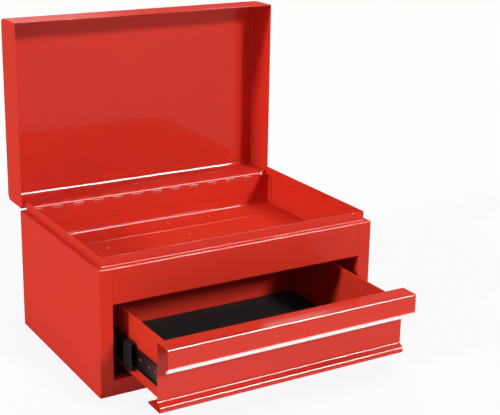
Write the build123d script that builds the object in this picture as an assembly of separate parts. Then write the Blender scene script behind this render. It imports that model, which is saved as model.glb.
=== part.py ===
from build123d import *
import os
from math import atan2, cos, hypot, pi, sin, tan

# Portable steel tool box: a folded case with a lift-up lid on a piano hinge, an open upper
# compartment, and one drawer on three-member ball-bearing slides.
# Frame: X to the right, Y to the back, Z up, millimetres. The origin is the middle of the
# face that the case stands on. The shapes are saved with the lid open at 90 degrees and the
# drawer pulled out by REST_PULL.

# ---- case ----
CASE_WIDTH = 510.0
CASE_DEPTH = 332.0
CASE_HEIGHT = 213.0          # floor to the shoulder that the lid closes over
CASE_SHEET = 1.0
CASE_BEND = 1.2              # inner radius of the folds
POST_WIDTH = 24.5            # face on each side of the drawer opening
POST_RETURN = 12.0           # fold that runs back from the opening's edge
TOP_RAIL_HEIGHT = 60.5       # face above the drawer opening
BOTTOM_RAIL_HEIGHT = 26.0
RAIL_RETURN = 15.0
RAIL_TAB = 14.0              # lap behind each post
SEAM_GAP = 0.4               # butt joint between a rail and a post
NOTCH_GAP = 0.2              # around a flange that passes another
SHOULDER = 9.8
UPSTAND_HEIGHT = 16.0
UPSTAND_REAR_GAP = 4.0       # the side upstands stop short of the back
CORNER_TAB_WIDTH = 9.5       # the side upstands turn in at the back, beside the hinge
CORNER_TAB_RISE = 8.5        # above and below the shoulder
SEAM_FLANGE = 12.0           # welded laps of the back, bottom and tray
FLOOR_BEND = 2.2             # rounder fold at the edges of the upper floor

# ---- hat-shaped stiffener under the upper floor ----
STIFFENER_FROM_BACK = 62.0
STIFFENER_DEPTH = 9.0
STIFFENER_WEB = 56.0
STIFFENER_FOOT = 16.0
STIFFENER_END_GAP = 18.0

# ---- lid ----
LID_SIDE_INSET = 3.0
LID_FRONT_INSET = 7.0
LID_HEIGHT = 66.0
LID_GAP = 3.0                # rim above the shoulder when closed
LID_SHEET = 1.0
LID_BEND = 9.0               # inner radius of the rounded front and rear folds
LID_FLANGE = 13.0            # welded lap of an end under the top
LID_TAB_HEIGHT = 32.0        # corner laps of an end
LID_TAB_FROM_RIM = 4.0
LID_OPEN_ANGLE = 90.0

# ---- piano hinge ----
KNUCKLE_LENGTH = 19.5
HINGE_END_GAP = 17.9         # least, from the hinge to the lid's outside
KNUCKLE_GAP = 0.3
KNUCKLE_WALL = 1.0
LEAF_SHEET = 1.0
LEAF_WIDTH = 36.0            # from the pin to the leaf's edge
PIN_DIAMETER = 3.0
PIN_CLEARANCE = 0.05         # radial
LEAF_CLEARANCE = 0.4         # from a barrel to the sheet beside it
LEAF_NOTCH = 3.6             # from a barrel to the other leaf, cut away beside it
CURL_END = -120.0            # angle where a rolled knuckle ends; its leaf is at 180 degrees

# ---- drawer ----
REST_PULL = 166.0
FRONT_SIDE_GAP = 7.5
FRONT_TOP_GAP = 8.5
FRONT_BOTTOM_GAP = 6.0
DRAWER_SHEET = 0.9
DRAWER_BEND = 1.4
PULL_PROUD = 2.5             # pull in front of the case when closed
PULL_DEPTH = 34.0            # pull's face to the panel's face
PULL_HEIGHT = 36.6
PULL_HEM = 4.9               # depth of the doubled grip
PULL_HEM_HEIGHT = 25.0
CURL_GAP = 0.3               # end of the doubled sheet to the pull's face
LIP_HEIGHT = 8.5
LIP_SLOPE = 6.5
LIP_PROUD = 8.5
LIP_FLANGE = 43.0            # runs back under the drawer's floor
BOX_INSET = 19.3             # end of the front to the box's side
BOX_DROP = 9.8               # top of the pull to the top of the box
BOX_REAR_GAP = 4.0
BOX_FLANGE = 10.0            # welded laps inside the box
BOX_HEM = 2.8                # thickness of the doubled top edge
BOX_HEM_DROP = 9.0
BOX_HEM_BEND = 0.45
LIP_CORNER = 4.5
FLOOR_FLANGE = 8.0
LINER_THICKNESS = 6.0
LINER_GAP = 1.6
PICK_MARGIN = 0.1            # around the place of the lip's rounded corners

# ---- bright trim on the pull ----
TRIM_SHEET = 0.9
TRIM_HEIGHT = 6.8
TRIM_REAR_HEIGHT = 3.5
TRIM_OVERHANG = 1.0
TRIM_GAP = 0.05

# ---- slides ----
SLIDE_REAR_GAP = 17.0        # case member to the back panel
MIDDLE_REAR_GAP = 4.0        # middle member to the case member's rear end
DRAWER_MEMBER_GAP = 37.0     # drawer member to the box's rear end
SLIDE_THICKNESS = 12.7
SLIDE_SETBACK = 3.6          # drawer member behind the panel's back face
MIDDLE_SETBACK = 20.0        # behind the drawer member's front end
OUTER_SETBACK = 45.0
SLIDE_RISE = 38.3            # underside of the box to the middle of the slide
SLIDE_SHEET = 1.1
SLIDE_BEND = 0.6
MIDDLE_SHARE = 0.5           # of the drawer's travel
INNER_CAGE_SHARE = 0.75
OUTER_CAGE_SHARE = 0.25
INNER_HEIGHT = 32.5
INNER_DEPTH = 4.6
MIDDLE_WEB_PLACE = 7.6       # distances from the drawer's side
MIDDLE_START = 2.0
OUTER_START = 3.0
BALL_DIAMETER = 3.5
BALL_CLEARANCE = 0.2
BALL_SEAT = 0.05
BALLS_PER_ROW = 7
BALL_PITCH = 13.0
CAGE_SHEET = 0.8
CAGE_BEND = 0.3
CAGE_LENGTH = 92.0
INNER_CAGE_WEB = 5.6
OUTER_CAGE_WEB = 9.6
CAGE_LIP = 2.6               # cage beyond the middle of a ball
BUMPER_HEIGHT = 46.0
BUMPER_GAP = 0.05            # around the middle member
BUMPER_CLEARANCE = 0.5       # to the case member behind it
BUMPER_START = 3.2
BUMPER_INSET = 0.3           # inside the slide's thickness
BUMPER_ROUND = 1.0
SLOT_LENGTH = 9.0
SLOT_WIDTH = 5.0
SLOT_PLACES = (42.0, 61.0, 91.0, 140.0, 190.0)
RIVET_FROM_END = 15.0

# ---- rivets ----
RIVET_SHANK = 3.6
RIVET_HEAD = 7.0
RIVET_HEAD_HEIGHT = 0.8
RIVET_TAIL = 5.6
RIVET_TAIL_HEIGHT = 0.8
RIVET_CLEARANCE = 0.05

# ---- brackets that carry the slides ----
BRACKET_SHEET = 1.2
BRACKET_HEIGHT = 54.0
BRACKET_FOOT = 12.0
BRACKET_REAR_EXTRA = 4.0

# ---- places worked out from the sizes ----
HALF_WIDTH = CASE_WIDTH / 2
FRONT = -CASE_DEPTH / 2
BACK = CASE_DEPTH / 2
WALL_INSIDE = HALF_WIDTH - CASE_SHEET
OPENING_HALF = HALF_WIDTH - POST_WIDTH
OPENING_TOP = CASE_HEIGHT - TOP_RAIL_HEIGHT
UPSTAND_HALF = HALF_WIDTH - SHOULDER
UPSTAND_TOP = CASE_HEIGHT + UPSTAND_HEIGHT
FLOOR_TOP = OPENING_TOP + 2 * CASE_SHEET

BARREL_RADIUS = PIN_DIAMETER / 2 + PIN_CLEARANCE + KNUCKLE_WALL
LEAF_FACE = BACK - CASE_SHEET - LEAF_SHEET
PIN_Y = LEAF_FACE + BARREL_RADIUS
PIN_Z = CASE_HEIGHT + LID_GAP / 2
BACK_TOP = PIN_Z - BARREL_RADIUS - LEAF_CLEARANCE
LID_REAR_RIM = PIN_Z + BARREL_RADIUS + LEAF_CLEARANCE

LID_HALF = HALF_WIDTH - LID_SIDE_INSET
LID_RIM = CASE_HEIGHT + LID_GAP
LID_TOP = LID_RIM + LID_HEIGHT
LID_FRONT = FRONT + LID_FRONT_INSET
KNUCKLE_COUNT = 2 * int((LID_HALF - HINGE_END_GAP) / KNUCKLE_LENGTH)

FRONT_HALF = OPENING_HALF - FRONT_SIDE_GAP
PULL_FACE = FRONT - PULL_PROUD
PANEL_FACE = PULL_FACE + PULL_DEPTH
PANEL_BACK = PANEL_FACE + DRAWER_SHEET
FRONT_TOP = OPENING_TOP - FRONT_TOP_GAP
PULL_BOTTOM = FRONT_TOP - PULL_HEIGHT
FRONT_BOTTOM = BOTTOM_RAIL_HEIGHT + FRONT_BOTTOM_GAP
BOX_HALF = FRONT_HALF - BOX_INSET
BOX_BOTTOM = FRONT_BOTTOM + DRAWER_SHEET
BOX_TOP = FRONT_TOP - BOX_DROP
BOX_REAR = BACK - CASE_SHEET - BOX_REAR_GAP

SLIDE_FRONT = PANEL_BACK + SLIDE_SETBACK
MIDDLE_FRONT = SLIDE_FRONT + MIDDLE_SETBACK
OUTER_FRONT = SLIDE_FRONT + OUTER_SETBACK
OUTER_BACK = BACK - CASE_SHEET - SLIDE_REAR_GAP
MIDDLE_BACK = OUTER_BACK - MIDDLE_REAR_GAP
SLIDE_BACK = BOX_REAR - DRAWER_MEMBER_GAP
SLIDE_Z = BOX_BOTTOM + SLIDE_RISE
RACE = BALL_DIAMETER + 2 * BALL_CLEARANCE
INNER_TOP = INNER_HEIGHT / 2
MIDDLE_INSIDE = INNER_TOP + RACE
MIDDLE_TOP = MIDDLE_INSIDE + SLIDE_SHEET
OUTER_INSIDE = MIDDLE_TOP + RACE
OUTER_TOP = OUTER_INSIDE + SLIDE_SHEET
INNER_ROW = INNER_TOP + RACE / 2
OUTER_ROW = MIDDLE_TOP + RACE / 2
INNER_BALL_PLACE = (MIDDLE_START + INNER_DEPTH) / 2
OUTER_BALL_PLACE = (OUTER_START + MIDDLE_WEB_PLACE + SLIDE_SHEET) / 2
INNER_CAGE_MIDDLE = (MIDDLE_FRONT + SLIDE_BACK) / 2
OUTER_CAGE_MIDDLE = (OUTER_FRONT + MIDDLE_BACK) / 2

LEFT, RIGHT = -1, 1


# ---- helpers ----
def block(x, y, z):
    """A box between pairs of limits."""
    size = [limits[1] - limits[0] for limits in (x, y, z)]
    centre = [(limits[0] + limits[1]) / 2 for limits in (x, y, z)]
    return Pos(*centre) * Box(*size)


def folded_section(points, sheet, bend, side):
    """The section of a folded sheet. points follow one face, and the metal is on their left
    (side 1) or right (side -1). Every fold has the inner radius bend."""
    directions = []
    for (a, b), (c, d) in zip(points, points[1:]):
        length = hypot(c - a, d - b)
        directions.append(((c - a) / length, (d - b) / length))
    other, radii, other_radii = [], [], []
    for i, (a, b) in enumerate(points):
        before = directions[max(i - 1, 0)]
        after = directions[min(i, len(directions) - 1)]
        turn = atan2(before[0] * after[1] - before[1] * after[0],
                     before[0] * after[0] + before[1] * after[1])
        along = sheet * tan(turn / 2)
        other.append((a - side * (sheet * before[1]) - side * along * before[0],
                      b + side * (sheet * before[0]) - side * along * before[1]))
        if 0 < i < len(points) - 1:
            inward = turn * side > 0
            radii.append(bend + sheet if inward else bend)
            other_radii.append(bend if inward else bend + sheet)
    edge = FilletPolyline(*points, radius=radii)
    other_edge = FilletPolyline(*other, radius=other_radii)
    ends = Line(points[0], other[0]) + Line(points[-1], other[-1])
    return make_face(Curve() + edge + other_edge + ends)


def along_x(section, start, end):
    """A section drawn as (Y, Z), run along X."""
    return extrude(Plane.YZ.offset(start) * section, amount=end - start)


def along_y(section, start, end):
    """A section drawn as (X, Z), run along Y."""
    return extrude(Plane.XZ.offset(-end) * section, amount=end - start)


def along_z(section, start, end):
    """A section drawn as (X, Y), run along Z."""
    return extrude(Plane.XY.offset(start) * section, amount=end - start)


def on_side(shape, side):
    """A shape drawn for the left, for either side."""
    return shape if side == LEFT else mirror(shape, about=Plane.YZ)


def opened_lid(shape):
    """A piece of the closed lid, turned open about the hinge pin."""
    return shape.rotate(Axis((0, PIN_Y, PIN_Z), (1, 0, 0)), -LID_OPEN_ANGLE)


def pulled_out(shape, share=1.0):
    """A piece of the closed drawer, moved by its share of the drawer's rest position."""
    return Pos(0, -share * REST_PULL, 0) * shape


def peg(radius, x_from, x_to, y, z):
    """A round bar along X."""
    return Pos((x_from + x_to) / 2, y, z) * Rot(0, 90, 0) * Cylinder(radius, abs(x_to - x_from))


# ---- case ----
def under_face(start, height, shoulder, top, end):
    """The space under a folded outer face, as a section: up, in over the shoulder, up."""
    face = FilletPolyline((start, 0), (start, height), (start + shoulder, height),
                          (start + shoulder, top), radius=[CASE_BEND + CASE_SHEET, CASE_BEND])
    return make_face(Curve() + face + Polyline((start + shoulder, top), (end, top), (end, 0), (start, 0)))


def shoulder_section(start):
    """Upper part of an outer wall, folded in over the shoulder and up into the upstand."""
    return folded_section(
        [(start, CASE_HEIGHT - SHOULDER), (start, CASE_HEIGHT), (start + SHOULDER, CASE_HEIGHT),
         (start + SHOULDER, UPSTAND_TOP)], CASE_SHEET, CASE_BEND, -1)


def outside_front_corner():
    """The space outside the rounded upright edge at the case's left front corner."""
    radius = CASE_BEND + CASE_SHEET
    around = block((-HALF_WIDTH - radius, -HALF_WIDTH + radius), (FRONT - radius, FRONT + radius),
                   (0, UPSTAND_TOP))
    return around - Pos(-HALF_WIDTH + radius, FRONT + radius, UPSTAND_TOP / 2) * Cylinder(
        radius, 2 * UPSTAND_TOP)


def side_panel(side):
    """Outer wall, folded round the front post, the shoulder and the side upstand."""
    corner = [(-HALF_WIDTH, BACK), (-HALF_WIDTH, FRONT), (-OPENING_HALF, FRONT)]
    plain = folded_section(corner, CASE_SHEET, CASE_BEND, 1)
    with_return = folded_section(
        corner + [(-OPENING_HALF, FRONT + POST_RETURN)], CASE_SHEET, CASE_BEND, 1)
    wall = along_z(plain, 0, BOTTOM_RAIL_HEIGHT)
    wall += along_z(with_return, BOTTOM_RAIL_HEIGHT, OPENING_TOP)
    wall += along_z(plain, OPENING_TOP, CASE_HEIGHT - CASE_SHEET - CASE_BEND)

    above = (CASE_HEIGHT, UPSTAND_TOP)
    side_run = along_y(shoulder_section(-HALF_WIDTH), FRONT, BACK)
    side_run -= block((-UPSTAND_HALF, 0), (FRONT, FRONT + SHOULDER), above)
    side_run -= block((-HALF_WIDTH, 0), (BACK - UPSTAND_REAR_GAP, BACK), above)
    front_run = along_x(shoulder_section(FRONT), -HALF_WIDTH, -OPENING_HALF)
    front_run -= block((-HALF_WIDTH, -UPSTAND_HALF), (FRONT + SHOULDER, 0), above)
    side_space = under_face(-HALF_WIDTH, CASE_HEIGHT, SHOULDER, UPSTAND_TOP, 0)
    front_space = under_face(FRONT, CASE_HEIGHT, SHOULDER, UPSTAND_TOP, BACK)
    top = side_run + front_run
    top &= along_y(side_space, FRONT, BACK)
    top &= along_x(front_space, -HALF_WIDTH, 0)
    rear = BACK - UPSTAND_REAR_GAP
    inside = CASE_SHEET - UPSTAND_HALF
    top += block((inside, inside + CORNER_TAB_WIDTH), (rear - CASE_SHEET, rear),
                 (CASE_HEIGHT - CORNER_TAB_RISE, CASE_HEIGHT + CORNER_TAB_RISE))
    return on_side(wall + (top - outside_front_corner()), side)


def rail_laps(bottom, top):
    """Laps of a front rail behind the two posts."""
    half = OPENING_HALF + RAIL_TAB
    inner = OPENING_HALF - RAIL_TAB
    depth = (FRONT + CASE_SHEET, FRONT + 2 * CASE_SHEET)
    return block((-half, -inner), depth, (bottom, top)) + block((inner, half), depth, (bottom, top))


def front_top_rail():
    """Face above the opening, folded into the shoulder and the front upstand."""
    section = folded_section(
        [(FRONT + RAIL_RETURN, OPENING_TOP), (FRONT, OPENING_TOP), (FRONT, CASE_HEIGHT),
         (FRONT + SHOULDER, CASE_HEIGHT), (FRONT + SHOULDER, UPSTAND_TOP)],
        CASE_SHEET, CASE_BEND, -1)
    half = OPENING_HALF - SEAM_GAP
    laps = rail_laps(OPENING_TOP + CASE_SHEET + CASE_BEND, CASE_HEIGHT - CASE_SHEET - CASE_BEND)
    return along_x(section, -half, half) + laps


def front_bottom_rail():
    """Face below the opening, with a fold along its top."""
    section = folded_section(
        [(FRONT, 0), (FRONT, BOTTOM_RAIL_HEIGHT), (FRONT + RAIL_RETURN, BOTTOM_RAIL_HEIGHT)],
        CASE_SHEET, CASE_BEND, -1)
    half = OPENING_HALF - SEAM_GAP
    laps = rail_laps(CASE_SHEET + NOTCH_GAP, BOTTOM_RAIL_HEIGHT - CASE_SHEET - CASE_BEND)
    return along_x(section, -half, half) + laps


def pan(face, turn, bend, front):
    """A flat sheet across the case with its outer face at a height, and flanges on the sides
    and the back that turn up (1) or down (-1)."""
    edge = face + turn * SEAM_FLANGE
    rear = BACK - CASE_SHEET
    across = folded_section(
        [(-WALL_INSIDE, edge), (-WALL_INSIDE, face), (WALL_INSIDE, face), (WALL_INSIDE, edge)],
        CASE_SHEET, bend, turn)
    along = folded_section([(front, face), (rear, face), (rear, edge)], CASE_SHEET, bend, turn)
    fold = bend + CASE_SHEET
    sheet = along_y(across, front, rear - fold)
    sheet += along_x(along, fold - WALL_INSIDE, WALL_INSIDE - fold)
    level = (face - SEAM_FLANGE, face + SEAM_FLANGE)
    rear_notch = (rear - SEAM_FLANGE - NOTCH_GAP, rear)
    front_notch = (front, FRONT + CASE_SHEET + CASE_BEND + NOTCH_GAP)
    for width, notch in ((CASE_SHEET + NOTCH_GAP, rear_notch), (CASE_BEND, front_notch)):
        sheet -= block((-WALL_INSIDE, width - WALL_INSIDE), notch, level)
        sheet -= block((WALL_INSIDE - width, WALL_INSIDE), notch, level)
    return sheet


def bottom_panel():
    return pan(0, 1, CASE_BEND, FRONT + CASE_SHEET)


def tray_floor():
    """Floor of the open upper compartment."""
    return pan(FLOOR_TOP, -1, FLOOR_BEND, FRONT + 2 * CASE_SHEET + NOTCH_GAP)


def back_panel():
    """Rear wall, with flanges along the inside of the side panels."""
    flange = BACK - SEAM_FLANGE
    section = folded_section(
        [(-WALL_INSIDE, flange), (-WALL_INSIDE, BACK), (WALL_INSIDE, BACK), (WALL_INSIDE, flange)],
        CASE_SHEET, CASE_BEND, -1)
    panel = along_z(section, 0, BACK_TOP)
    under_fold = (CASE_HEIGHT - CASE_SHEET - CASE_BEND - NOTCH_GAP, CASE_HEIGHT)
    depth = (flange, BACK)
    panel -= block((-WALL_INSIDE, CASE_BEND - WALL_INSIDE), depth, under_fold)
    return panel - block((WALL_INSIDE - CASE_BEND, WALL_INSIDE), depth, under_fold)


def floor_stiffener():
    """Hat-shaped rib welded under the upper floor."""
    middle = BACK - STIFFENER_FROM_BACK
    web = STIFFENER_WEB / 2
    foot = web + STIFFENER_FOOT
    high = FLOOR_TOP - CASE_SHEET
    low = high - STIFFENER_DEPTH
    section = folded_section(
        [(middle - foot, high), (middle - web, high), (middle - web, low), (middle + web, low),
         (middle + web, high), (middle + foot, high)], CASE_SHEET, CASE_BEND, -1)
    half = WALL_INSIDE - STIFFENER_END_GAP
    return along_x(section, -half, half)


def slide_bracket(side):
    """Hat channel that carries a slide off the case's wall."""
    web = -(BOX_HALF + SLIDE_THICKNESS + BRACKET_SHEET)
    half = BRACKET_HEIGHT / 2 - BRACKET_SHEET
    section = folded_section(
        [(-WALL_INSIDE, SLIDE_Z + half + BRACKET_FOOT), (-WALL_INSIDE, SLIDE_Z + half),
         (web, SLIDE_Z + half), (web, SLIDE_Z - half),
         (-WALL_INSIDE, SLIDE_Z - half), (-WALL_INSIDE, SLIDE_Z - half - BRACKET_FOOT)],
        BRACKET_SHEET, CASE_BEND, 1)
    bracket = along_y(section, OUTER_FRONT, OUTER_BACK + BRACKET_REAR_EXTRA)
    return on_side(bracket - outer_rivet_holes(), side)


# ---- piano hinge ----
def pin_point(radius, angle):
    """A point around the hinge pin, in (Y, Z). Zero degrees points to the back."""
    return (PIN_Y + radius * cos(angle * pi / 180), PIN_Z + radius * sin(angle * pi / 180))


def knuckle_section():
    """One sheet end, rolled round the pin, with its leaf below."""
    bore = BARREL_RADIUS - KNUCKLE_WALL
    halfway = (180 + CURL_END) / 2
    edge = PIN_Z - BARREL_RADIUS - LEAF_NOTCH
    outside = ThreePointArc(pin_point(BARREL_RADIUS, 180), pin_point(BARREL_RADIUS, halfway),
                            pin_point(BARREL_RADIUS, CURL_END))
    inside = ThreePointArc(pin_point(bore, 180), pin_point(bore, halfway), pin_point(bore, CURL_END))
    end = Line(pin_point(BARREL_RADIUS, CURL_END), pin_point(bore, CURL_END))
    neck = Polyline(pin_point(BARREL_RADIUS, 180), (PIN_Y - BARREL_RADIUS, edge),
                    (PIN_Y - bore, edge), pin_point(bore, 180))
    return make_face(Curve() + outside + end + inside + neck)


def hinge_leaf(first):
    """A leaf below the pin, with every second knuckle from the first one on."""
    half = KNUCKLE_COUNT * KNUCKLE_LENGTH / 2
    edge = PIN_Z - BARREL_RADIUS - LEAF_NOTCH
    leaf = block((-half, half), (LEAF_FACE, LEAF_FACE + LEAF_SHEET), (PIN_Z - LEAF_WIDTH, edge))
    section = knuckle_section()
    for number in range(first, KNUCKLE_COUNT, 2):
        start = -half + number * KNUCKLE_LENGTH + KNUCKLE_GAP / 2
        leaf += along_x(section, start, start + KNUCKLE_LENGTH - KNUCKLE_GAP)
    return leaf


def hinge_case_leaf():
    return hinge_leaf(1)


def hinge_lid_leaf():
    """The other leaf: the same sheet turned over, which puts its curls on the same pin."""
    level = Plane((0, 0, PIN_Z), x_dir=(1, 0, 0), z_dir=(0, 0, 1))
    return opened_lid(mirror(hinge_leaf(0), about=level))


def hinge_pin():
    half = KNUCKLE_COUNT * KNUCKLE_LENGTH / 2
    return peg(PIN_DIAMETER / 2, -half, half, PIN_Y, PIN_Z)


# ---- lid, drawn closed ----
def lid_cover():
    """Front wall, top and rear wall in one sheet."""
    section = folded_section(
        [(LID_FRONT, LID_RIM), (LID_FRONT, LID_TOP), (BACK, LID_TOP), (BACK, LID_REAR_RIM)],
        LID_SHEET, LID_BEND, -1)
    return opened_lid(along_x(section, -LID_HALF, LID_HALF))


def lid_end(side):
    """End wall inside the cover, with a flange under the top and a lap in each corner."""
    front = LID_FRONT + LID_SHEET
    rear = BACK - LID_SHEET
    top = LID_TOP - LID_SHEET
    rim = FilletPolyline((front, LID_RIM), (front, top), (rear, top), (rear, LID_RIM),
                         radius=LID_BEND)
    outline = make_face(Curve() + rim + Line((rear, LID_RIM), (front, LID_RIM)))
    end = along_x(outline, -LID_HALF, -LID_HALF + LID_SHEET)
    fold = CASE_BEND + LID_SHEET
    run = (front + LID_BEND + fold, rear - LID_BEND - fold)
    end -= block((-LID_HALF, -LID_HALF + LID_SHEET), run, (top - fold, top))
    section = folded_section(
        [(-LID_HALF, top - LID_FLANGE), (-LID_HALF, top), (-LID_HALF + LID_FLANGE, top)],
        LID_SHEET, CASE_BEND, -1)
    end += along_y(section, *run)
    across = (-LID_HALF + LID_SHEET, -LID_HALF + LID_FLANGE)
    low = LID_RIM + LID_TAB_FROM_RIM
    end += block(across, (front, front + LID_SHEET), (low, low + LID_TAB_HEIGHT))
    end += block(across, (rear - LID_SHEET, rear), (low, low + LID_TAB_HEIGHT))
    return opened_lid(on_side(end, side))


# ---- drawer, drawn closed ----
def drawer_front():
    """Doubled grip, pull, panel, rolled lower edge and floor lap in one sheet."""
    grip_line = PULL_FACE + PULL_HEM - DRAWER_SHEET
    face_line = PULL_FACE + DRAWER_SHEET
    curl_line = PULL_BOTTOM + PULL_HEM_HEIGHT - DRAWER_SHEET
    low_line = PULL_BOTTOM + DRAWER_SHEET
    top_line = FRONT_TOP - DRAWER_SHEET
    lip_face = PANEL_FACE - LIP_PROUD
    lip_top = FRONT_BOTTOM + LIP_HEIGHT
    section = folded_section(
        [(face_line + CURL_GAP, curl_line), (grip_line, curl_line), (grip_line, low_line),
         (face_line, low_line), (face_line, top_line), (PANEL_FACE, top_line),
         (PANEL_FACE, lip_top + LIP_SLOPE), (lip_face, lip_top), (lip_face, FRONT_BOTTOM),
         (lip_face + LIP_FLANGE, FRONT_BOTTOM)], DRAWER_SHEET, DRAWER_BEND, 1)
    front = along_x(section, -FRONT_HALF, FRONT_HALF)
    rear = lip_face + LIP_FLANGE
    corners = front.edges().filter_by(Axis.Z).filter_by_position(
        Axis.Y, rear - PICK_MARGIN, rear + PICK_MARGIN)
    return pulled_out(fillet(corners, LIP_CORNER))


def pull_trim():
    """Bright channel over the lower edge of the grip."""
    outside = TRIM_GAP + TRIM_SHEET
    face = PULL_FACE - outside
    rear = PULL_FACE + PULL_HEM + outside
    low = PULL_BOTTOM - outside
    section = folded_section(
        [(face, low + TRIM_HEIGHT), (face, low), (rear, low), (rear, low + TRIM_REAR_HEIGHT)],
        TRIM_SHEET, DRAWER_BEND + DRAWER_SHEET + TRIM_GAP, 1)
    half = FRONT_HALF + TRIM_OVERHANG
    return pulled_out(along_x(section, -half, half))


def drawer_floor():
    """Floor between the sides, with a flange up each side."""
    half = BOX_HALF - DRAWER_SHEET
    high = BOX_BOTTOM + FLOOR_FLANGE
    section = folded_section(
        [(-half, high), (-half, BOX_BOTTOM), (half, BOX_BOTTOM), (half, high)],
        DRAWER_SHEET, DRAWER_BEND, 1)
    front = PANEL_BACK + DRAWER_SHEET + NOTCH_GAP
    rear = BOX_REAR - DRAWER_SHEET - NOTCH_GAP
    return pulled_out(along_y(section, front, rear))


def drawer_side(side):
    """Side with a doubled top edge and a lap on the back of the panel."""
    hem = -BOX_HALF + BOX_HEM
    section = folded_section(
        [(-BOX_HALF, BOX_BOTTOM), (-BOX_HALF, BOX_TOP), (hem, BOX_TOP), (hem, BOX_TOP - BOX_HEM_DROP)],
        DRAWER_SHEET, BOX_HEM_BEND, -1)
    wall = along_y(section, PANEL_BACK, BOX_REAR)
    wall += block((-BOX_HALF + DRAWER_SHEET, -BOX_HALF + BOX_FLANGE),
                  (PANEL_BACK, PANEL_BACK + DRAWER_SHEET),
                  (BOX_BOTTOM, BOX_TOP - BOX_HEM_DROP - BOX_HEM))
    return pulled_out(on_side(wall - inner_rivet_holes(), side))


def drawer_back():
    """Back with a doubled top edge and laps on the inside of the sides."""
    hem = BOX_REAR - BOX_HEM
    edge = folded_section(
        [(BOX_REAR, BOX_BOTTOM), (BOX_REAR, BOX_TOP), (hem, BOX_TOP), (hem, BOX_TOP - BOX_HEM_DROP)],
        DRAWER_SHEET, BOX_HEM_BEND, 1)
    half = BOX_HALF - BOX_HEM - NOTCH_GAP
    back = along_x(edge, -half, half)
    inside = BOX_HALF - DRAWER_SHEET
    lap = BOX_REAR - BOX_FLANGE
    laps = folded_section(
        [(-inside, lap), (-inside, BOX_REAR), (inside, BOX_REAR), (inside, lap)],
        DRAWER_SHEET, BOX_HEM_BEND, -1)
    low = BOX_BOTTOM + FLOOR_FLANGE + NOTCH_GAP
    return pulled_out(back + along_z(laps, low, BOX_TOP - BOX_HEM_DROP - BOX_HEM))


def drawer_liner():
    half = BOX_HALF - 2 * DRAWER_SHEET - LINER_GAP
    level = BOX_BOTTOM + DRAWER_SHEET
    front = PANEL_BACK + DRAWER_SHEET + LINER_GAP
    rear = BOX_REAR - DRAWER_SHEET - LINER_GAP
    return pulled_out(block((-half, half), (front, rear), (level, level + LINER_THICKNESS)))


# ---- slides, drawn on the left, closed ----
def off_drawer(distance):
    """X at a distance from the drawer's left side."""
    return -(BOX_HALF + distance)


def channel(web, open_end, height):
    """C-shaped section of a slide member. web is the distance to the web's outer face."""
    high = SLIDE_Z + height
    low = SLIDE_Z - height
    side = -1 if open_end > web else 1
    return folded_section(
        [(off_drawer(open_end), high), (off_drawer(web), high), (off_drawer(web), low),
         (off_drawer(open_end), low)], SLIDE_SHEET, SLIDE_BEND, side)


def rivet_places(front, back):
    """Where three rivets sit along a member."""
    return (front + RIVET_FROM_END, (front + back) / 2, back - RIVET_FROM_END)


def inner_rivet_holes():
    """Holes through a drawer member and the drawer's side."""
    radius = RIVET_SHANK / 2 + RIVET_CLEARANCE
    reach = (off_drawer(-BOX_FLANGE), off_drawer(SLIDE_SHEET + RIVET_HEAD_HEIGHT))
    return [peg(radius, *reach, y, SLIDE_Z) for y in rivet_places(SLIDE_FRONT, SLIDE_BACK)]


def outer_rivet_holes():
    """Holes through a case member and its bracket."""
    radius = RIVET_SHANK / 2 + RIVET_CLEARANCE
    reach = (off_drawer(SLIDE_THICKNESS - 2 * SLIDE_SHEET), off_drawer(SLIDE_THICKNESS + BRACKET_FOOT))
    return [peg(radius, *reach, y, SLIDE_Z) for y in rivet_places(OUTER_FRONT, OUTER_BACK)]


def slots():
    """Long holes in the web of a drawer member."""
    shape = SlotOverall(SLOT_LENGTH, SLOT_WIDTH)
    reach = off_drawer(2 * SLIDE_SHEET)
    holes = []
    for place in SLOT_PLACES:
        section = Plane((reach, SLIDE_FRONT + place, SLIDE_Z), x_dir=(0, 1, 0), z_dir=(1, 0, 0)) * shape
        holes.append(extrude(section, amount=2 * SLIDE_SHEET + DRAWER_SHEET / 2))
    return holes


def drawer_member(side):
    member = along_y(channel(0, INNER_DEPTH, INNER_TOP), SLIDE_FRONT, SLIDE_BACK)
    return pulled_out(on_side(member - inner_rivet_holes() - slots(), side))


def middle_member(side):
    web = MIDDLE_WEB_PLACE + SLIDE_SHEET
    member = along_y(channel(web, MIDDLE_START, MIDDLE_TOP), MIDDLE_FRONT, MIDDLE_BACK)
    return pulled_out(on_side(member, side), MIDDLE_SHARE)


def case_member(side):
    member = along_y(channel(SLIDE_THICKNESS, OUTER_START, OUTER_TOP), OUTER_FRONT, OUTER_BACK)
    return on_side(member - outer_rivet_holes(), side)


def front_bumper(side):
    """Plastic end piece round the middle member, in front of the case member."""
    run = (MIDDLE_FRONT, OUTER_FRONT - BUMPER_CLEARANCE)
    half = BUMPER_HEIGHT / 2
    bumper = block((off_drawer(SLIDE_THICKNESS - BUMPER_INSET), off_drawer(BUMPER_START)), run,
                   (SLIDE_Z - half, SLIDE_Z + half))
    bumper = fillet(bumper.edges().filter_by(Axis.Y), BUMPER_ROUND)
    inside = MIDDLE_TOP + BUMPER_GAP
    room = block((off_drawer(MIDDLE_WEB_PLACE + SLIDE_SHEET + BUMPER_GAP), 0), run,
                 (SLIDE_Z - inside, SLIDE_Z + inside))
    return pulled_out(on_side(bumper - room, side), MIDDLE_SHARE)


def ball_places(middle, place, row):
    """Middles of the balls of one cage."""
    start = middle - BALL_PITCH * (BALLS_PER_ROW - 1) / 2
    return [(off_drawer(place), start + number * BALL_PITCH, SLIDE_Z + level)
            for number in range(BALLS_PER_ROW) for level in (-row, row)]


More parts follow.
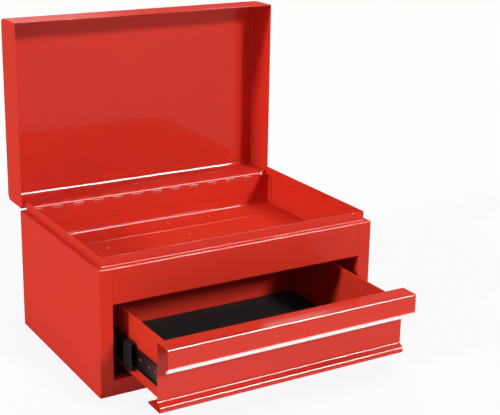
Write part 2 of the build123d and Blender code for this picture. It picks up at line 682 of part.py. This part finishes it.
def balls(side, middle, place, row, share):
    group = [Pos(*spot) * Sphere(BALL_DIAMETER / 2) for spot in ball_places(middle, place, row)]
    return pulled_out(on_side(Compound(group), side), share)


def ball_cage(side, web, middle, place, row, share):
    """Bent strip that spaces the balls between two members."""
    high = row + CAGE_SHEET / 2
    outer = web + CAGE_SHEET
    section = folded_section(
        [(off_drawer(place - CAGE_LIP), SLIDE_Z + high), (off_drawer(outer), SLIDE_Z + high),
         (off_drawer(outer), SLIDE_Z - high), (off_drawer(place - CAGE_LIP), SLIDE_Z - high)],
        CAGE_SHEET, CAGE_BEND, 1)
    cage = along_y(section, middle - CAGE_LENGTH / 2, middle + CAGE_LENGTH / 2)
    radius = BALL_DIAMETER / 2 + BALL_SEAT
    cage -= [Pos(*spot) * Cylinder(radius, 2 * CAGE_SHEET)
             for spot in ball_places(middle, place, row)]
    return pulled_out(on_side(cage, side), share)


def rivet(head, head_way, grip_end, y):
    """A rivet along X. Its head stands on head, and its tail is formed at grip_end."""
    body = peg(RIVET_SHANK / 2, head, grip_end, y, SLIDE_Z)
    body += peg(RIVET_HEAD / 2, head, head + head_way * RIVET_HEAD_HEIGHT, y, SLIDE_Z)
    return body + peg(RIVET_TAIL / 2, grip_end, grip_end - head_way * RIVET_TAIL_HEIGHT, y, SLIDE_Z)


def drawer_rivets(side):
    """Rivets through a drawer member and the drawer's side."""
    head = off_drawer(SLIDE_SHEET)
    group = [rivet(head, -1, off_drawer(-DRAWER_SHEET), y)
             for y in rivet_places(SLIDE_FRONT, SLIDE_BACK)]
    return pulled_out(on_side(Compound(group), side))


def case_rivets(side):
    """Rivets through a case member and its bracket."""
    head = off_drawer(SLIDE_THICKNESS - SLIDE_SHEET)
    group = [rivet(head, 1, off_drawer(SLIDE_THICKNESS + BRACKET_SHEET), y)
             for y in rivet_places(OUTER_FRONT, OUTER_BACK)]
    return on_side(Compound(group), side)


# ---- all pieces ----
def case_pieces():
    return {
        "back_panel": back_panel(),
        "bottom_panel": bottom_panel(),
        "front_top_rail": front_top_rail(),
        "front_bottom_rail": front_bottom_rail(),
        "tray_floor": tray_floor(),
        "floor_stiffener": floor_stiffener(),
        "hinge_case_leaf": hinge_case_leaf(),
        "hinge_pin": hinge_pin(),
    }


def lid_pieces():
    return {
        "lid_cover": lid_cover(),
        "hinge_lid_leaf": hinge_lid_leaf(),
    }


def drawer_pieces():
    return {
        "drawer_front": drawer_front(),
        "pull_trim": pull_trim(),
        "drawer_floor": drawer_floor(),
        "drawer_back": drawer_back(),
        "drawer_liner": drawer_liner(),
    }


def handed_pieces(side):
    """The pieces that come in a left and a right."""
    inner = (INNER_CAGE_MIDDLE, INNER_BALL_PLACE, INNER_ROW, INNER_CAGE_SHARE)
    outer = (OUTER_CAGE_MIDDLE, OUTER_BALL_PLACE, OUTER_ROW, OUTER_CAGE_SHARE)
    return {
        "side_panel": side_panel(side),
        "lid_end": lid_end(side),
        "drawer_side": drawer_side(side),
        "slide_bracket": slide_bracket(side),
        "slide_case_member": case_member(side),
        "slide_case_rivets": case_rivets(side),
        "slide_middle_member": middle_member(side),
        "slide_front_bumper": front_bumper(side),
        "slide_drawer_member": drawer_member(side),
        "slide_drawer_rivets": drawer_rivets(side),
        "slide_inner_ball_cage": ball_cage(side, INNER_CAGE_WEB, *inner),
        "slide_inner_balls": balls(side, *inner),
        "slide_outer_ball_cage": ball_cage(side, OUTER_CAGE_WEB, *outer),
        "slide_outer_balls": balls(side, *outer),
    }


pieces = {**case_pieces(), **lid_pieces(), **drawer_pieces()}
for word, side in (("left", LEFT), ("right", RIGHT)):
    for name, shape in handed_pieces(side).items():
        pieces[f"{word}_{name}"] = shape

os.makedirs("parts", exist_ok=True)
for name, shape in pieces.items():
    export_step(shape, f"parts/{name}.step")
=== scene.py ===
"""Looks of the portable tool box with one drawer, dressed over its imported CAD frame."""
import math

import bmesh
import bpy
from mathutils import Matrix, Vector


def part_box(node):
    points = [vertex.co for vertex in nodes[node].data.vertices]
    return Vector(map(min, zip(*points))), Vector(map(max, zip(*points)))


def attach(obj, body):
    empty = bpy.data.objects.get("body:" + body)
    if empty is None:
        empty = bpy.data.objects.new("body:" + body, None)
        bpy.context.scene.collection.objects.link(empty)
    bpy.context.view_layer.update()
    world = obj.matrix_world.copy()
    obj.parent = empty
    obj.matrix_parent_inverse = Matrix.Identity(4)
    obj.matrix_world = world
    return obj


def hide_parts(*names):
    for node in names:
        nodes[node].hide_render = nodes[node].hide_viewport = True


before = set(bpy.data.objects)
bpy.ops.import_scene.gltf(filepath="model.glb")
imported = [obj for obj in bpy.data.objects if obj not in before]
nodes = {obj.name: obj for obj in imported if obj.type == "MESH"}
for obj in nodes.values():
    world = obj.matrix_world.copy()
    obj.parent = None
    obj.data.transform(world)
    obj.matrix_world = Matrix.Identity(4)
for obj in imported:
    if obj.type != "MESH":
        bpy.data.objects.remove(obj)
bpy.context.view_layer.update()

MM = 0.001

# ---- the photograph's view ----
CAMERA_PLACE = (-0.92003, -1.70074, 0.85548)
CAMERA_TURN = (73.3743, -0.6795, -29.8279)       # degrees
CAMERA_LENS = 84.765
CAMERA_SENSOR = 36.0
CAMERA_SHIFT = (0.0469, -0.0554)

# ---- light ----
AMBIENT = (0.12, 0.12, 0.12)
# Each sun's direction points to the lamp. The edge sun lights only the gloss of the paint and
# trim, and draws the thin white lines on their bends.
SUNS = {
    "front_sun": dict(towards=(0.30, -0.84, 0.50), strength=1.95, angle=9.0),
    "left_sun": dict(towards=(-0.90, -0.10, 0.38), strength=1.95, angle=7.0),
    "top_sun": dict(towards=(0.15, 0.10, 1.0), strength=0.88, angle=30.0),
    "back_sun": dict(towards=(0.35, 1.0, 0.45), strength=1.1, angle=30.0),
    "edge_sun": dict(towards=(0.470, -0.650, 0.597), strength=17.0, angle=20.0, only_paint=True),
}
FLOOR_SIZE = 16.0
FLOOR_GLOW = 0.88                                # share of the floor that shows as plain white
FLOOR_GREY = 0.8
FLOOR_DROP = 0.1 * MM                            # under the face that the case stands on

MAT_CORNER = 3 * MM
MAT_EDGE = 0.9 * MM
EDGE_ROUND = 0.5 * MM                            # cut edges of the sheet, softened by the paint

# ---- colours, linear ----
RED = (0.665, 0.0375, 0.0200)
RED_DEEP = (0.64, 0.0355, 0.0190)

# ---- paint: the gloss is a weight of coat over a base without any of its own ----
COAT = 0.038
LID_COAT = 0.055
FRONT_COAT = 0.09
COAT_INDEX = 3.0
GLOSS = 0.10                                     # roughness of the coat
LID_GLOSS = 0.07
HINGE_GLOSS = 0.2
PEEL = 0.05
HINGE_PEEL = 0.08
SHINY_SLOTS = ("red_paint", "painted_hinge", "bright_trim")

# ---- small formed details, in millimetres ----
FLOOR_TOP = 154.5
BACK_INSIDE = 165.0
WALL_INSIDE = 254.0
REAR_BEND = 2.6
REAR_LIP = 4.4
REAR_LIP_SHEET = 1.0
SEAM_PLACE = 104.0
SEAM_WIDTH = 1.8
SEAM_HEIGHT = 0.5
FLOOR_WELDS = ((-134.0, 68.0), (27.0, 68.0), (21.0, 140.0), (107.0, 140.0))
SIDE_WELD = (254.0, 150.0, 177.0)
DETAIL_END_GAP = 1.1
DETAIL_SINK = 0.05                               # into the floor, so that no gap shows
WELD_SIDES = 20
WELD_PROFILE = ((3.0, -0.2), (2.9, 0.2), (2.5, 0.8), (1.9, 1.2), (1.2, 1.4), (0.5, 1.5))


# ---- node helpers ----
def new_material(name):
    material = bpy.data.materials.new(name)
    material.use_nodes = True
    material.node_tree.nodes.clear()
    return material, material.node_tree


def add_node(tree, kind, **settings):
    node = tree.nodes.new(kind)
    for key, value in settings.items():
        setattr(node, key, value)
    return node


def set_inputs(node, **values):
    for key, value in values.items():
        node.inputs[key.replace("_", " ")].default_value = value


def noise(tree, where, scale, detail=2.0, roughness=0.5):
    node = add_node(tree, "ShaderNodeTexNoise")
    set_inputs(node, Scale=scale, Detail=detail, Roughness=roughness)
    tree.links.new(where, node.inputs["Vector"])
    return node.outputs["Fac"]


def spread(tree, value, low, high, start=0.3, end=0.7):
    """A 0 to 1 texture, stretched from start..end to low..high."""
    node = add_node(tree, "ShaderNodeMapRange")
    for key, number in (("From Min", start), ("From Max", end), ("To Min", low), ("To Max", high)):
        node.inputs[key].default_value = number
    tree.links.new(value, node.inputs["Value"])
    return node.outputs["Result"]


def mixed_colour(tree, factor, first, second):
    node = add_node(tree, "ShaderNodeMix", data_type="RGBA")
    node.inputs["A"].default_value = (*first, 1)
    node.inputs["B"].default_value = (*second, 1)
    tree.links.new(factor, node.inputs["Factor"])
    return node.outputs["Result"]


def bumped(tree, height, depth, strength, below=None):
    node = add_node(tree, "ShaderNodeBump")
    set_inputs(node, Strength=strength, Distance=depth)
    tree.links.new(height, node.inputs["Height"])
    if below is not None:
        tree.links.new(below, node.inputs["Normal"])
    return node.outputs["Normal"]


def start_surface(name):
    """A material with one Principled shader, and the coordinates that its textures use."""
    material, tree = new_material(name)
    shader = add_node(tree, "ShaderNodeBsdfPrincipled")
    output = add_node(tree, "ShaderNodeOutputMaterial")
    tree.links.new(shader.outputs["BSDF"], output.inputs["Surface"])
    where = add_node(tree, "ShaderNodeTexCoord").outputs["Object"]
    return material, tree, shader, where


def stretched(tree, where, scale):
    """Coordinates scaled along each axis, for brushed or rolled grain."""
    node = add_node(tree, "ShaderNodeMapping")
    node.inputs["Scale"].default_value = scale
    tree.links.new(where, node.inputs["Vector"])
    return node.outputs["Vector"]


# ---- materials ----
def gloss_red(name, gloss=GLOSS, peel=PEEL, coat=COAT):
    """Baked gloss paint: orange peel, faint clouding and fingerprints in the gloss."""
    material, tree, shader, where = start_surface(name)
    cloud = noise(tree, where, 7.0, detail=3.0)
    tree.links.new(mixed_colour(tree, spread(tree, cloud, 0.0, 1.0), RED_DEEP, RED),
                   shader.inputs["Base Color"])
    smudge = noise(tree, where, 31.0, detail=5.0, roughness=0.6)
    tree.links.new(spread(tree, smudge, 0.42, 0.58), shader.inputs["Roughness"])
    shader.inputs["Specular IOR Level"].default_value = 0.0
    shader.inputs["Coat Weight"].default_value = coat
    shader.inputs["Coat IOR"].default_value = COAT_INDEX
    shader.inputs["Coat Roughness"].default_value = gloss
    edges = add_node(tree, "ShaderNodeBevel", samples=6)
    edges.inputs["Radius"].default_value = EDGE_ROUND
    wave = bumped(tree, noise(tree, where, 38.0, detail=1.0), 0.6 * MM, peel,
                  below=edges.outputs["Normal"])
    skin = bumped(tree, noise(tree, where, 420.0, detail=2.0), 0.06 * MM, peel * 2, below=wave)
    tree.links.new(skin, shader.inputs["Normal"])
    tree.links.new(skin, shader.inputs["Coat Normal"])
    return material


def plain_steel(name, colour, rough, grain=(900.0, 60.0, 900.0)):
    """Drawn or rolled steel with fine lines along Y or X."""
    material, tree, shader, where = start_surface(name)
    shader.inputs["Metallic"].default_value = 1.0
    lines = noise(tree, stretched(tree, where, grain), 1.0, detail=3.0)
    darker = tuple(0.8 * c for c in colour)
    tree.links.new(mixed_colour(tree, lines, darker, colour), shader.inputs["Base Color"])
    tree.links.new(spread(tree, lines, rough * 0.8, rough * 1.3), shader.inputs["Roughness"])
    tree.links.new(bumped(tree, lines, 0.02 * MM, 0.3), shader.inputs["Normal"])
    return material


def bright_aluminium():
    """Bright anodised trim with very fine lines along its length."""
    material, tree, shader, where = start_surface("bright_aluminium")
    shader.inputs["Metallic"].default_value = 1.0
    lines = noise(tree, stretched(tree, where, (25.0, 1500.0, 1500.0)), 1.0, detail=2.0)
    tree.links.new(mixed_colour(tree, lines, (0.86, 0.85, 0.83), (0.96, 0.94, 0.92)),
                   shader.inputs["Base Color"])
    tree.links.new(spread(tree, lines, 0.16, 0.28), shader.inputs["Roughness"])
    tree.links.new(bumped(tree, lines, 0.01 * MM, 0.25), shader.inputs["Normal"])
    return material


def black_coat():
    """Black electrophoretic coat on the slides, with rub marks along Y."""
    material, tree, shader, where = start_surface("black_coat")
    rub = noise(tree, stretched(tree, where, (420.0, 14.0, 420.0)), 1.0, detail=4.0)
    tree.links.new(mixed_colour(tree, spread(tree, rub, 0.0, 1.0, 0.5, 0.85),
                                (0.005, 0.005, 0.005), (0.020, 0.020, 0.021)),
                   shader.inputs["Base Color"])
    tree.links.new(spread(tree, rub, 0.42, 0.26), shader.inputs["Roughness"])
    shader.inputs["Specular IOR Level"].default_value = 0.25
    tree.links.new(bumped(tree, noise(tree, where, 650.0), 0.05 * MM, 0.2), shader.inputs["Normal"])
    return material


def black_plastic():
    """Moulded plastic with a fine matt grain."""
    material, tree, shader, where = start_surface("black_plastic")
    grain = noise(tree, where, 900.0, detail=2.0)
    tree.links.new(mixed_colour(tree, grain, (0.005, 0.005, 0.005), (0.012, 0.012, 0.012)),
                   shader.inputs["Base Color"])
    shader.inputs["Roughness"].default_value = 0.45
    shader.inputs["Specular IOR Level"].default_value = 0.3
    tree.links.new(bumped(tree, grain, 0.08 * MM, 0.35), shader.inputs["Normal"])
    return material


def foam_mat():
    """Closed-cell foam with a fine pebbled skin."""
    material, tree, shader, where = start_surface("foam_mat")
    cells = add_node(tree, "ShaderNodeTexVoronoi")
    cells.inputs["Scale"].default_value = 520.0
    tree.links.new(where, cells.inputs["Vector"])
    patches = noise(tree, where, 26.0, detail=4.0)
    tree.links.new(mixed_colour(tree, patches, (0.014, 0.0155, 0.016), (0.024, 0.026, 0.027)),
                   shader.inputs["Base Color"])
    shader.inputs["Roughness"].default_value = 0.72
    shader.inputs["Specular IOR Level"].default_value = 0.35
    tree.links.new(bumped(tree, cells.outputs["Distance"], 0.35 * MM, 0.6), shader.inputs["Normal"])
    return material


def polished_steel():
    """Bearing balls: polished, with a faint oil film."""
    material, tree, shader, where = start_surface("polished_steel")
    shader.inputs["Metallic"].default_value = 1.0
    film = noise(tree, where, 240.0, detail=2.0)
    tree.links.new(mixed_colour(tree, film, (0.62, 0.61, 0.58), (0.76, 0.76, 0.77)),
                   shader.inputs["Base Color"])
    tree.links.new(spread(tree, film, 0.06, 0.16), shader.inputs["Roughness"])
    return material


shiny = bpy.data.collections.new("shiny")

MATERIALS = {
    "red_paint": gloss_red("red_gloss_paint"),
    "painted_hinge": gloss_red("painted_hinge", gloss=HINGE_GLOSS, peel=HINGE_PEEL),
    "hinge_steel": plain_steel("oiled_pin_steel", (0.16, 0.145, 0.14), 0.36, (60.0, 900.0, 900.0)),
    "bright_trim": bright_aluminium(),
    "foam_liner": foam_mat(),
    "black_slide": black_coat(),
    "black_plastic": black_plastic(),
    "cage_steel": plain_steel("zinc_plated_strip", (0.50, 0.50, 0.51), 0.34),
    "ball_steel": polished_steel(),
    "rivet_steel": plain_steel("blackened_rivet_steel", (0.10, 0.10, 0.10), 0.42),
}


def dress_nodes():
    """Gives every CAD node the finish of its slot; the drawer's front and the lid are glossier."""
    front_paint = gloss_red("front_gloss_paint", coat=FRONT_COAT)
    lid_paint = gloss_red("lid_gloss_paint", gloss=LID_GLOSS, coat=LID_COAT)
    for node in nodes.values():
        for place in node.material_slots:
            slot_name = place.material.name.split(".")[0]
            place.material = MATERIALS[slot_name]
            if slot_name in SHINY_SLOTS:
                shiny.objects.link(node)
    nodes["drawer_front"].material_slots[0].material = front_paint
    nodes["lid_cover"].material_slots[0].material = lid_paint


# ---- stage ----
def white_where_seen(tree, plain, glow):
    """Mixes white light over a shader for the rays that show a background."""
    path = add_node(tree, "ShaderNodeLightPath")
    seen = add_node(tree, "ShaderNodeMath", operation="MAXIMUM")
    seen_too = add_node(tree, "ShaderNodeMath", operation="MAXIMUM")
    tree.links.new(path.outputs["Is Camera Ray"], seen.inputs[0])
    tree.links.new(path.outputs["Is Glossy Ray"], seen.inputs[1])
    tree.links.new(seen.outputs[0], seen_too.inputs[0])
    tree.links.new(path.outputs["Is Transmission Ray"], seen_too.inputs[1])
    share = add_node(tree, "ShaderNodeMath", operation="MULTIPLY")
    share.inputs[1].default_value = glow
    tree.links.new(seen_too.outputs[0], share.inputs[0])
    blend = add_node(tree, "ShaderNodeMixShader")
    tree.links.new(share.outputs[0], blend.inputs[0])
    tree.links.new(plain, blend.inputs[1])
    return blend


def make_floor():
    half = FLOOR_SIZE / 2
    mesh = bpy.data.meshes.new("floor")
    mesh.from_pydata([(-half, -half, 0), (half, -half, 0), (half, half, 0), (-half, half, 0)],
                     [], [(0, 1, 2, 3)])
    floor = bpy.data.objects.new("floor", mesh)
    floor.location.z = -FLOOR_DROP
    bpy.context.scene.collection.objects.link(floor)
    material, tree = new_material("pale_floor")
    paper = add_node(tree, "ShaderNodeBsdfDiffuse")
    paper.inputs["Color"].default_value = (FLOOR_GREY,) * 3 + (1,)
    light = add_node(tree, "ShaderNodeEmission")
    light.inputs["Strength"].default_value = 1.0
    blend = white_where_seen(tree, paper.outputs[0], FLOOR_GLOW)
    tree.links.new(light.outputs[0], blend.inputs[2])
    output = add_node(tree, "ShaderNodeOutputMaterial")
    tree.links.new(blend.outputs[0], output.inputs["Surface"])
    mesh.materials.append(material)


def make_world():
    world = bpy.data.worlds.new("studio")
    bpy.context.scene.world = world
    world.use_nodes = True
    tree = world.node_tree
    tree.nodes.clear()
    ambient = add_node(tree, "ShaderNodeBackground")
    ambient.inputs["Color"].default_value = (*AMBIENT, 1)
    white = add_node(tree, "ShaderNodeBackground")
    white.inputs["Color"].default_value = (1, 1, 1, 1)
    blend = white_where_seen(tree, ambient.outputs[0], 1.0)
    tree.links.new(white.outputs[0], blend.inputs[2])
    output = add_node(tree, "ShaderNodeOutputWorld")
    tree.links.new(blend.outputs[0], output.inputs["Surface"])


def add_sun(name, towards, strength, angle, only_paint=False):
    light = bpy.data.lights.new(name, "SUN")
    light.energy = strength
    light.angle = math.radians(angle)
    lamp = bpy.data.objects.new(name, light)
    lamp.rotation_mode = "QUATERNION"
    lamp.rotation_quaternion = Vector(towards).to_track_quat("Z", "Y")
    if only_paint:
        lamp.visible_diffuse = False
        lamp.light_linking.receiver_collection = shiny
    bpy.context.scene.collection.objects.link(lamp)


def make_camera():
    data = bpy.data.cameras.new("camera")
    data.sensor_width = CAMERA_SENSOR
    data.lens = CAMERA_LENS
    data.shift_x, data.shift_y = CAMERA_SHIFT
    camera = bpy.data.objects.new("camera", data)
    camera.location = CAMERA_PLACE
    camera.rotation_euler = [math.radians(angle) for angle in CAMERA_TURN]
    bpy.context.scene.collection.objects.link(camera)
    bpy.context.scene.camera = camera


# ---- pieces of the scene's own ----
def add_piece(name, build, material, body):
    """A mesh from a bmesh that build fills, riding on a body."""
    shape = bmesh.new()
    build(shape)
    bmesh.ops.recalc_face_normals(shape, faces=shape.faces)
    mesh = bpy.data.meshes.new(name)
    shape.to_mesh(mesh)
    shape.free()
    mesh.materials.append(MATERIALS[material])
    piece = bpy.data.objects.new(name, mesh)
    bpy.context.scene.collection.objects.link(piece)
    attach(piece, body)
    if material == "red_paint":
        shiny.objects.link(piece)
    return piece


def foam_liner():
    """The mat, with rounded upright corners and a softer top edge."""
    low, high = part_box("drawer_liner")
    size = high - low
    centre = (high + low) / 2

    def build(shape):
        bmesh.ops.create_cube(shape, size=1.0)
        for vertex in shape.verts:
            vertex.co = centre + Vector([a * b for a, b in zip(vertex.co, size)])
        upright = [e for e in shape.edges if abs(e.verts[0].co.z - e.verts[1].co.z) > 0.5 * size.z]
        bmesh.ops.bevel(shape, geom=upright, offset=MAT_CORNER, segments=4, profile=0.5,
                        affect="EDGES")
        top = [e for e in shape.edges if min(v.co.z for v in e.verts) > high.z - 0.1 * MM]
        bmesh.ops.bevel(shape, geom=top, offset=MAT_EDGE, segments=3, profile=0.5, affect="EDGES")

    mat = add_piece("foam_liner_mat", build, "foam_liner", "drawer")
    for face in mat.data.polygons:
        face.use_smooth = abs(face.normal.z) < 0.99
    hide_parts("drawer_liner")


def bar_along_x(shape, section, run):
    """A bar with the same outline all along: section in (Y, Z), in millimetres."""
    ends = [[shape.verts.new(Vector((x, y, z)) * MM) for y, z in section] for x in run]
    for number in range(len(section)):
        after = (number + 1) % len(section)
        shape.faces.new((ends[0][number], ends[0][after], ends[1][after], ends[1][number]))
    shape.faces.new(ends[0])
    shape.faces.new(ends[1])


def arc(middle, radius, first, last, steps=8):
    """Points round a middle, from one angle to another, in degrees from +Y to +Z."""
    angles = [math.radians(first + (last - first) * step / steps) for step in range(steps + 1)]
    return [(middle[0] + radius * math.cos(a), middle[1] + radius * math.sin(a)) for a in angles]


def weld_mark(shape, place, facing):
    """A spot weld: a low round button."""
    turn = Vector(facing).to_track_quat("Z", "Y")
    rings = []
    for radius, height in WELD_PROFILE:
        spots = [Vector((radius * math.cos(a), radius * math.sin(a), height))
                 for a in (2 * math.pi * step / WELD_SIDES for step in range(WELD_SIDES))]
        rings.append([shape.verts.new((Vector(place) + turn @ spot) * MM) for spot in spots])
    for outer, inner in zip(rings, rings[1:]):
        for number in range(WELD_SIDES):
            after = (number + 1) % WELD_SIDES
            shape.faces.new((outer[number], outer[after], inner[after], inner[number]))
    shape.faces.new(rings[0])
    shape.faces.new(rings[-1])


def smooth(piece, angle=40.0):
    """Smooth shading, except across edges sharper than the angle."""
    shape = bmesh.new()
    shape.from_mesh(piece.data)
    for face in shape.faces:
        face.smooth = True
    for edge in shape.edges:
        edge.smooth = len(edge.link_faces) == 2 and edge.calc_face_angle() < math.radians(angle)
    shape.to_mesh(piece.data)
    shape.free()


def floor_details():
    """The upper floor's rear edge, turned up behind; its seam; and the spot welds."""
    back = BACK_INSIDE - REAR_LIP_SHEET
    bend = (back - REAR_BEND, FLOOR_TOP + REAR_BEND)
    top = (BACK_INSIDE - REAR_LIP_SHEET / 2, FLOOR_TOP + REAR_LIP)
    lip = (arc(bend, REAR_BEND, -90, 0) + arc(top, REAR_LIP_SHEET / 2, 180, 0, 6)
           + [(BACK_INSIDE, FLOOR_TOP - DETAIL_SINK), (bend[0], FLOOR_TOP - DETAIL_SINK)])
    half = WALL_INSIDE - DETAIL_END_GAP
    smooth(add_piece("rear_floor_bend", lambda shape: bar_along_x(shape, lip, (-half, half)),
                     "red_paint", "case"))
    seam = [(SEAM_PLACE + SEAM_WIDTH / 2 * math.cos(a),
             FLOOR_TOP - DETAIL_SINK + SEAM_HEIGHT * math.sin(a))
            for a in (math.pi * step / 8 for step in range(9))]
    smooth(add_piece("floor_seam", lambda shape: bar_along_x(shape, seam, (-half, half)),
                     "red_paint", "case"))

    def marks(shape):
        for x, y in FLOOR_WELDS:
            weld_mark(shape, (x, y, FLOOR_TOP), (0, 0, 1))
        weld_mark(shape, SIDE_WELD, (-1, 0, 0))

    smooth(add_piece("spot_welds", marks, "red_paint", "case"), 60.0)


def soft_block(shape, low, high, edge):
    """A block with rounded edges, between two corners in millimetres."""
    made = bmesh.ops.create_cube(shape, size=1.0)["verts"]
    for vertex in made:
        vertex.co = Vector([((a + b) / 2 + c * (b - a)) * MM
                            for a, b, c in zip(low, high, vertex.co)])
    edges = list({e for vertex in made for e in vertex.link_edges})
    bmesh.ops.bevel(shape, geom=edges, offset=edge * MM, segments=2, profile=0.5, affect="EDGES")


def moulded_bumper(word, side):
    """The plastic end piece of a slide: face plate, hoods, ribs, collar and snap hook."""
    node = f"{word}_slide_front_bumper"
    low, high = (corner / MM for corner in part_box(node))
    outer, inner = (low.x, high.x) if side < 0 else (high.x, low.x)
    front, rear = low.y, high.y
    middle = (low.z + high.z) / 2
    half = (high.z - low.z) / 2

    def part(shape, depth, run, level, edge):
        """depth from the outer face inwards, run from the front end, level from the middle."""
        across = sorted(outer - side * d for d in depth)
        soft_block(shape, (across[0], front + run[0], middle + level[0]),
                   (across[1], front + run[1], middle + level[1]), edge)

    def build(shape):
        length = rear - front
        depth = abs(outer - inner)
        part(shape, (1.4, 3.6), (0.0, length), (-half + 1.2, half - 1.2), 0.5)
        for way in (-1, 1):
            hood = sorted((way * (half - 1.65), way * half))
            part(shape, (0.3, depth), (0.0, length - 2.0), hood, 0.5)
            bead = sorted((way * (half - 4.6), way * (half - 1.3)))
            part(shape, (0.0, 2.4), (1.6, length - 4.0), bead, 1.0)
        part(shape, (0.0, 2.4), (0.0, 3.4), (-half + 4.0, half - 4.0), 1.1)
        part(shape, (0.2, 2.4), (8.2, 10.4), (-half + 4.2, half - 6.5), 0.7)
        part(shape, (0.2, 2.4), (13.6, 15.8), (-half + 4.2, half - 6.5), 0.7)
        part(shape, (0.0, 3.0), (length - 3.2, length), (-half + 0.6, half - 0.6), 1.0)
        part(shape, (0.1, 2.4), (3.6, 7.8), (-4.2, 4.2), 0.8)
        part(shape, (0.4, 2.4), (16.0, 21.0), (-half + 5.0, -half + 9.0), 0.8)
        part(shape, (0.4, 2.4), (16.0, 21.0), (half - 9.0, half - 5.0), 0.8)

    piece = add_piece(f"{word}_moulded_bumper", build, "black_plastic", f"{word}_slide_middle")
    smooth(piece, 35.0)
    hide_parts(node)


# ---- all of it ----
dress_nodes()
foam_liner()
floor_details()
moulded_bumper("left", -1)
moulded_bumper("right", 1)
make_floor()
make_world()
for sun_name, sun in SUNS.items():
    add_sun(sun_name, **sun)
make_camera()

bpy.context.scene.view_settings.view_transform = "Standard"
